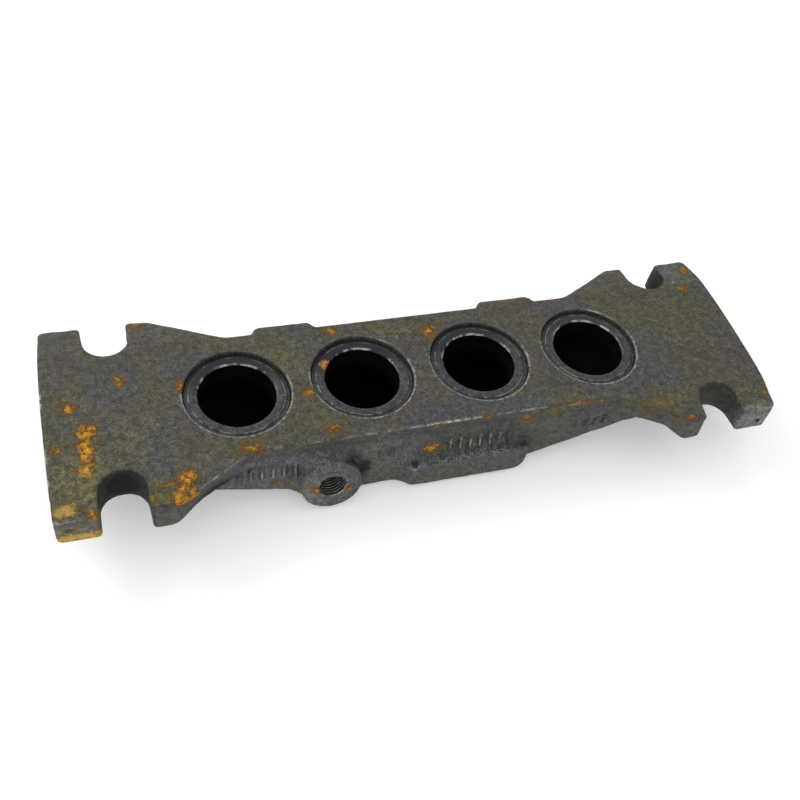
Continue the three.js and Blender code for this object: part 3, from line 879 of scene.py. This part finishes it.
def skin_colour(nodes, place, height, face, tarnish, mottle, blotch, grain):
    """Grey skin with olive and bluish areas, mottled at several sizes, with painted shade and
    light.
    """
    broad = nodes.noise(place, 0.035, 3)
    cool = nodes.noise(nodes.place(place, move=(90, 20, 50)), 0.05, 3)
    speck = nodes.noise(nodes.place(place, move=(5, 70, 8)), 2.4, 3, 0.6)

    colour = nodes.mix(nodes.between(mottle, 0.38, 0.62), GREY, WARM_GREY)
    olive = nodes.maths("MULTIPLY", nodes.between(broad, 0.45, 0.6), 0.55)
    colour = nodes.mix(olive, colour, OLIVE)
    colour = nodes.mix(nodes.between(tarnish, 0.0, 1.1, 0.0, 0.75), colour, TARNISHED)
    cool = nodes.maths("ADD", cool, patches(nodes, place, BLUISH))
    least = nodes.between(face, 0.0, 1.0, 0.4, 0.0)
    most = nodes.between(face, 0.0, 1.0, 0.9, 0.6)
    colour = nodes.mix(nodes.between(cool, 0.5, 0.64, least, most), colour, BLUE_GREY)

    # The walls are darker just under the port face
    off_face = nodes.maths("SUBTRACT", 1.0, face)
    band = nodes.maths("MULTIPLY", nodes.between(height, 28.5, 30.0), off_face)
    colour = nodes.mix(nodes.maths("MULTIPLY", band, 0.3), colour, SHADED)

    colour = nodes.mix(1.0, colour, nodes.between(blotch, 0.3, 0.7, 0.55, 1.45), "MULTIPLY")
    colour = nodes.mix(1.0, colour, nodes.between(grain, 0.3, 0.7, 0.4, 1.65), "MULTIPLY")
    specks = nodes.maths("MULTIPLY", nodes.between(speck, 0.58, 0.7), 0.7)
    colour = nodes.mix(specks, colour, SPECKLED)
    # Painted light from the listed patches
    for rows, gain in ((PAINTED_LIGHT, 1.45), (PAINTED_LIGHT_BRIGHTEST, 1.5)):
        light_gain = nodes.between(patches(nodes, place, rows), 0.0, 0.6, 1.0, gain)
        colour = nodes.mix(1.0, colour, light_gain, "MULTIPLY")
    return colour


def fine_scratches(nodes, place):
    """Thin lines in three directions, each given by its turn and a shift of its noise."""
    lines = []
    for turn, shift in ((0.35, 0), (-0.6, 30), (1.2, 60)):
        turned = nodes.place(place, turn=(0, 0, turn))
        stretched = nodes.place(turned, scale=(0.05, 1.3, 0.5), move=(shift, 0, 0))
        lines.append(nodes.between(nodes.noise(stretched, 1.0, 3, 0.6), 0.6, 0.76))
    return nodes.highest(lines)


def bare_metal_and_highlights(nodes, place, mottle):
    """Bright edge wear, partly painted highlights, and painted highlights on the rims of the seats.
    """
    broken = nodes.noise(place, 0.3, 4, 0.7)
    rubbed_and_highlit = patches(nodes, place, WEAR_AND_HIGHLIGHTS)
    edges = nodes.maths("ADD", nodes.between(mottle, 0.5, 0.7, 0.0, 0.4), rubbed_and_highlit)
    edges = nodes.maths("MULTIPLY", edges, nodes.between(broken, 0.36, 0.6))
    edges = nodes.maths("MULTIPLY", nodes.value("wear"), edges)
    # Painted highlight on the seats' rims
    rim = nodes.maths("MULTIPLY", nodes.value("rim"), nodes.maths("ADD", rubbed_and_highlit, 0.5))
    rim = nodes.maths("MULTIPLY", rim, nodes.between(broken, 0.35, 0.55, 0.15, 1.0))
    return nodes.maths("MINIMUM", nodes.maths("MAXIMUM", edges, rim), 1.0)


def rust_amount(nodes, place, ragged, patch_shade):
    """How much rust there is: ragged patches and a thin bloom, less where the painted shade lies.
    """
    bloom = nodes.noise(nodes.place(place, move=(31, 7, 2)), 0.07, 3)
    bloom = nodes.between(bloom, 0.5, 0.72, 0.0, 0.2)
    spread = nodes.maths("MAXIMUM", patches(nodes, place, RUST), bloom)
    amount = nodes.maths("ADD", spread, nodes.maths("MULTIPLY", ragged, 2.4))
    return nodes.maths("SUBTRACT", amount, nodes.maths("MULTIPLY", patch_shade, 0.7))


def rust_colour(nodes, place, amount, tarnish):
    """Brown rims, bright middles, dark and pale flakes, and ochre where the skin is tarnished."""
    colour = nodes.mix(nodes.between(amount, 1.85, 2.6), RUST_RIM, RUST_MIDDLE)
    flakes = nodes.noise(place, 0.6, 6, 0.78)
    colour = nodes.mix(nodes.between(flakes, 0.47, 0.56, 0.0, 0.9), colour, RUST_DARK)
    colour = nodes.mix(nodes.between(flakes, 0.44, 0.36, 0.0, 0.5), colour, RUST_PALE)
    return nodes.mix(nodes.between(tarnish, 0.5, 1.1, 0.0, 0.6), colour, RUST_OCHRE)


def cast_iron():
    """The casting's skin: grey and olive, scratched, bright with edge wear and rusted, with painted
    shade and light.
    """
    nodes = Nodes("cast_iron")
    place = nodes.millimetres()
    normal = nodes.add("ShaderNodeNewGeometry").outputs["Normal"]
    up = nodes.add("ShaderNodeSeparateXYZ", {0: normal}).outputs[2]
    height = nodes.add("ShaderNodeSeparateXYZ", {0: place}).outputs[2]
    face = nodes.maths("MULTIPLY", nodes.between(up, 0.9, 0.98), nodes.between(height, 31.0, 32.5))

    mottle = nodes.noise(place, 0.16, 5, 0.65)
    blotch = nodes.noise(nodes.place(place, move=(40, 9, 3)), 0.42, 5, 0.68)
    grain = nodes.noise(place, 1.3, 4, 0.72)
    patchy = nodes.between(blotch, 0.25, 0.65, 0.35, 1.0)
    tarnish = nodes.maths("MULTIPLY", patches(nodes, place, TARNISH), patchy)
    colour = skin_colour(nodes, place, height, face, tarnish, mottle, blotch, grain)

    scratches = nodes.maths("MULTIPLY", fine_scratches(nodes, place), face)
    colour = nodes.mix(nodes.maths("MULTIPLY", scratches, 0.3), colour, SCRATCHED)
    # Bright metal where edges wear, and painted highlights on edges, bars and seat rims
    worn_and_highlit = bare_metal_and_highlights(nodes, place, mottle)
    colour = nodes.mix(worn_and_highlit, colour, BARE_METAL_AND_HIGHLIGHT)
    # Painted highlights, as light grains
    highlight_grains = nodes.maths("MULTIPLY", patches(nodes, place, HIGHLIGHT_GRAINS), nodes.between(grain, 0.48, 0.62))
    colour = nodes.mix(nodes.between(highlight_grains, 0.1, 1.0, 0.0, 0.7), colour, HIGHLIGHT_GRAIN_COLOUR)

    # Painted shade: black in the corners, the seats, the slots and the listed patches
    shade_amount = nodes.maths("ADD", patches(nodes, place, SHADE_PATCHES), nodes.maths("MULTIPLY", blotch, 1.6))
    patch_shade = nodes.between(shade_amount, 1.1, 2.0)
    painted_shade = nodes.maths("MAXIMUM", nodes.value("shelter_shade"), patch_shade)
    colour = nodes.mix(nodes.maths("MULTIPLY", painted_shade, 0.92), colour, SHADE_BLACK)

    ragged = nodes.noise(nodes.place(place, move=(11, 3, 90)), 0.3, 7, 0.76)
    amount = rust_amount(nodes, place, ragged, patch_shade)
    stain = nodes.maths("MULTIPLY", nodes.between(amount, 1.2, 1.75), 0.55)
    colour = nodes.mix(stain, colour, RUST_STAIN)
    rusted = nodes.between(amount, 1.6, 1.85)
    colour = nodes.mix(rusted, colour, rust_colour(nodes, place, amount, tarnish))

    # Bright metal and painted highlights are smoother; painted shade and rust are dull
    roughness = nodes.between(mottle, 0.3, 0.7, 0.5, 0.7)
    roughness = nodes.maths("SUBTRACT", roughness, nodes.maths("MULTIPLY", worn_and_highlit, 0.2))
    dull_shade = nodes.maths("MULTIPLY", painted_shade, 0.95)
    dull_rust = nodes.maths("MULTIPLY", rusted, 0.88)
    roughness = nodes.highest([roughness, dull_shade, dull_rust])

    # Relief: sandy cast skin, quieter on the machined face, with raised rust
    cast = nodes.noise(place, 0.7, 5, 0.7)
    quiet = nodes.maths("SUBTRACT", 1.0, nodes.maths("MULTIPLY", face, 0.65))
    relief = nodes.maths("MULTIPLY", cast, quiet)
    relief = nodes.maths("ADD", relief, nodes.maths("MULTIPLY", grain, 0.2))
    lifted = nodes.maths("MULTIPLY", rusted, nodes.maths("MULTIPLY", ragged, 0.5))
    relief = nodes.maths("ADD", relief, lifted)
    relief = nodes.maths("SUBTRACT", relief, nodes.maths("MULTIPLY", scratches, 0.08))
    bump = nodes.bump(relief, 0.9, 0.9)

    shader = nodes.add(
        "ShaderNodeBsdfPrincipled",
        {"Base Color": colour, "Roughness": roughness, "Metallic": 0.1,
         "Specular IOR Level": 0.35, "Normal": bump},
    )
    return nodes.finish(shader.outputs[0])


def ring_shade(nodes, world, radius, behind, mottle):
    """How much painted shade darkens a seat ring: most at the back and the outside, less on the
    rings at +x.
    """
    along = nodes.add("ShaderNodeSeparateXYZ", {0: world}).outputs[0]
    ring_shade_amount = nodes.between(behind, -4, 16, 0.0, 0.9)
    ring_shade_amount = nodes.maths("ADD", ring_shade_amount, nodes.maths("MULTIPLY", mottle, 0.5))
    outside = nodes.between(radius, RING_OUTER - 0.7, RING_OUTER - 0.2, 0.0, 0.6)
    ring_shade_amount = nodes.maths("ADD", ring_shade_amount, outside)
    ring_shade_amount = nodes.maths("SUBTRACT", ring_shade_amount, nodes.between(along, -10, 80, 0.0, 0.4))
    return nodes.between(ring_shade_amount, 0.3, 1.2, 0.0, 0.9)


def ring_edges(nodes, world, radius, behind):
    """Where a seat ring's inner lip and its shoulder get painted highlights, the lip mostly at the
    back.
    """
    lip = nodes.between(radius, BORE_RADIUS + 0.9, BORE_RADIUS + 0.55)
    lip = nodes.maths("MULTIPLY", lip, nodes.between(behind, -2, 9, 0.25, 1.6))
    off = nodes.maths("ABSOLUTE", nodes.maths("SUBTRACT", radius, RING_SHOULDER - 0.1))
    shoulder = nodes.between(off, 0.3, 0.1)
    glinting = nodes.between(nodes.noise(nodes.place(world, move=(50, 3, 8)), 0.2, 4, 0.7), 0.46, 0.62)
    rubbed_and_highlit = nodes.maths("MULTIPLY", nodes.maths("MAXIMUM", lip, shoulder), glinting)
    return nodes.maths("MULTIPLY", rubbed_and_highlit, 0.5, clamp=True)


def machined_iron():
    """The seat rings: turned, with painted shade at the back, painted highlights on the edges, and
    a little rust.
    """
    nodes = Nodes("machined_iron")
    place = nodes.millimetres()
    position = nodes.add("ShaderNodeNewGeometry").outputs["Position"]
    world = nodes.place(position, scale=(1 / MM,) * 3)
    radius = nodes.add(
        "ShaderNodeVectorMath", {0: nodes.place(place, scale=(1, 1, 0))}, operation="LENGTH"
    ).outputs["Value"]
    behind = nodes.add("ShaderNodeSeparateXYZ", {0: place}).outputs[1]
    turned = nodes.noise(nodes.add("ShaderNodeCombineXYZ", {0: radius}).outputs[0], 2.2, 3, 0.6)
    mottle = nodes.noise(world, 0.35, 5, 0.65)
    grain = nodes.noise(world, 1.5, 4, 0.72)

    colour = nodes.mix(nodes.between(mottle, 0.38, 0.62), rgb(40, 44, 51), rgb(70, 70, 64))
    colour = nodes.mix(1.0, colour, nodes.between(turned, 0.3, 0.7, 0.75, 1.25), "MULTIPLY")
    colour = nodes.mix(1.0, colour, nodes.between(grain, 0.3, 0.7, 0.35, 1.7), "MULTIPLY")
    # Painted shade at the back and the outer edge of each ring
    colour = nodes.mix(ring_shade(nodes, world, radius, behind, mottle), colour, rgb(22, 23, 32))
    # Painted highlights on the lip and the shoulder
    colour = nodes.mix(ring_edges(nodes, world, radius, behind), colour, rgb(176, 178, 172))

    ragged = nodes.noise(nodes.place(world, move=(11, 3, 90)), 0.5, 6, 0.75)
    ragged = nodes.maths("MULTIPLY", ragged, 1.5)
    amount = nodes.maths("ADD", patches(nodes, world, RING_RUST), ragged)
    rust = nodes.mix(nodes.between(grain, 0.4, 0.6), rgb(84, 58, 34), rgb(206, 138, 52))
    colour = nodes.mix(nodes.between(amount, 1.15, 1.35), colour, rust)

    grooves = nodes.maths("MULTIPLY", turned, 0.7)
    relief = nodes.maths("ADD", grooves, nodes.maths("MULTIPLY", grain, 0.3))
    shader = nodes.add(
        "ShaderNodeBsdfPrincipled",
        {"Base Color": colour, "Roughness": nodes.between(mottle, 0.3, 0.7, 0.4, 0.58),
         "Metallic": 0.25, "Specular IOR Level": 0.4, "Normal": nodes.bump(relief, 0.6, 0.4)},
    )
    return nodes.finish(shader.outputs[0])


def bore_shade_black():
    """Painted shade: near black on the inside of the bores and the hollow."""
    nodes = Nodes("bore_shade_black")
    shade_speckle = nodes.noise(nodes.millimetres(), 0.6, 5, 0.7)
    colour = nodes.mix(nodes.between(shade_speckle, 0.35, 0.7), rgb(3, 3, 6), rgb(10, 10, 15))
    shader = nodes.add(
        "ShaderNodeBsdfPrincipled",
        {"Base Color": colour, "Roughness": nodes.between(shade_speckle, 0.3, 0.7, 0.7, 0.9),
         "Specular IOR Level": 0.04, "Normal": nodes.bump(shade_speckle, 0.6, 0.6)},
    )
    return nodes.finish(shader.outputs[0])


def thread_steel():
    """Thread crests painted bright as highlights, in patches, and roots painted near black as
    shade.
    """
    nodes = Nodes("thread_steel")
    place = nodes.millimetres()
    grain = nodes.maths("MULTIPLY", nodes.noise(place, 1.6, 4, 0.7), 0.3)
    crest = nodes.between(nodes.maths("ADD", nodes.value("crest"), grain), 0.96, 1.14)
    crest_patches = nodes.between(nodes.noise(place, 0.25, 3), 0.42, 0.6, 0.35, 1.0)
    glinting = nodes.mix(crest_patches, rgb(40, 38, 36), rgb(206, 200, 186))
    # Painted highlights on the crests and painted shade in the roots
    colour = nodes.mix(crest, rgb(8, 8, 9), glinting)
    shader = nodes.add(
        "ShaderNodeBsdfPrincipled",
        {"Base Color": colour, "Roughness": nodes.between(crest, 0.0, 1.0, 0.7, 0.3),
         "Metallic": nodes.maths("MULTIPLY", crest, 0.8)},
    )
    return nodes.finish(shader.outputs[0])


def gasket_fibre():
    """Dark pressed fibre, painted near black as the shade deep in the bore, with its grain along
    one axis.
    """
    nodes = Nodes("gasket_fibre")
    fibres = nodes.noise(nodes.place(nodes.millimetres(), scale=(1, 4, 2)), 1.2, 5, 0.7)
    colour = nodes.mix(nodes.between(fibres, 0.35, 0.7), rgb(8, 8, 11), rgb(18, 18, 21))
    shader = nodes.add(
        "ShaderNodeBsdfPrincipled",
        {"Base Color": colour, "Roughness": 0.9, "Specular IOR Level": 0.05,
         "Normal": nodes.bump(fibres, 0.4, 0.2)},
    )
    return nodes.finish(shader.outputs[0])


# ---- Pieces ----------------------------------------------------------------------------------

shade_material = bore_shade_black()
casting = build_casting(cast_iron(), shade_material, thread_steel())
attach(casting, "root")
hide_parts("header_casting")

ring_iron = machined_iron()
fibre = gasket_fibre()
for number, port_x in enumerate(PORT_X, start=1):
    ring = build_ring(number, port_x, ring_iron, shade_material)
    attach(ring, "root")
    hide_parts(f"seat_ring_{number}")
    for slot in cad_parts[f"seat_gasket_{number}"].material_slots:
        slot.material = fibre

# ---- Studio ----------------------------------------------------------------------------------

CAMERA_PLACE = Vector((-0.1352, -0.2532, 0.3635))
CAMERA_HEADING = math.radians(26.86)
CAMERA_PITCH = math.radians(-50.89)
CAMERA_ROLL = math.radians(13.29)
CAMERA_LENS = 44.97
CAMERA_SENSOR = 36

lens = bpy.data.cameras.new("camera")
lens.lens = CAMERA_LENS
lens.sensor_width = CAMERA_SENSOR
lens.clip_start, lens.clip_end = 0.01, 20
camera = bpy.data.objects.new("camera", lens)
bpy.context.scene.collection.objects.link(camera)
camera.matrix_world = (
    Matrix.Translation(CAMERA_PLACE)
    @ Matrix.Rotation(-CAMERA_HEADING, 4, "Z")
    @ Matrix.Rotation(math.pi / 2 + CAMERA_PITCH, 4, "X")
    @ Matrix.Rotation(CAMERA_ROLL, 4, "Z")
)
bpy.context.scene.camera = camera


def softbox(name, place, size, power):
    """A square area light that faces the object."""
    light = bpy.data.lights.new(name, "AREA")
    light.size = size
    light.energy = power
    made = bpy.data.objects.new(name, light)
    made.location = place
    made.rotation_euler = (-Vector(place)).to_track_quat("-Z", "Y").to_euler()
    bpy.context.scene.collection.objects.link(made)


softbox("key", (-0.9, 0.9, 0.9), size=0.8, power=10)
softbox("fill", (-0.5, -1.4, 0.7), size=1.6, power=5.5)

world = bpy.data.worlds.new("studio")
world.use_nodes = True
background = world.node_tree.nodes["Background"]
background.inputs["Color"].default_value = (1, 1, 1, 1)
background.inputs["Strength"].default_value = 0.85
bpy.context.scene.world = world
bpy.context.scene.view_settings.view_transform = "Standard"

FLOOR_HALF = 8.0
FLOOR_GAP = 0.5 * MM

floor_nodes = Nodes("floor")
paper = floor_nodes.add(
    "ShaderNodeBsdfPrincipled",
    {"Base Color": (0.92, 0.92, 0.92, 1), "Roughness": 0.9,
     "Emission Color": (1, 1, 1, 1), "Emission Strength": 0.2},
)
floor_nodes.finish(paper.outputs[0])
floor_mesh = bpy.data.meshes.new("floor")
floor_mesh.from_pydata(
    [(x * FLOOR_HALF, y * FLOOR_HALF, 0) for x, y in ((-1, -1), (1, -1), (1, 1), (-1, 1))],
    [],
    [(0, 1, 2, 3)],
)
floor_mesh.materials.append(floor_nodes.material)
floor = bpy.data.objects.new("floor", floor_mesh)
floor.location.z = -FLOOR_GAP
bpy.context.scene.collection.objects.link(floor)
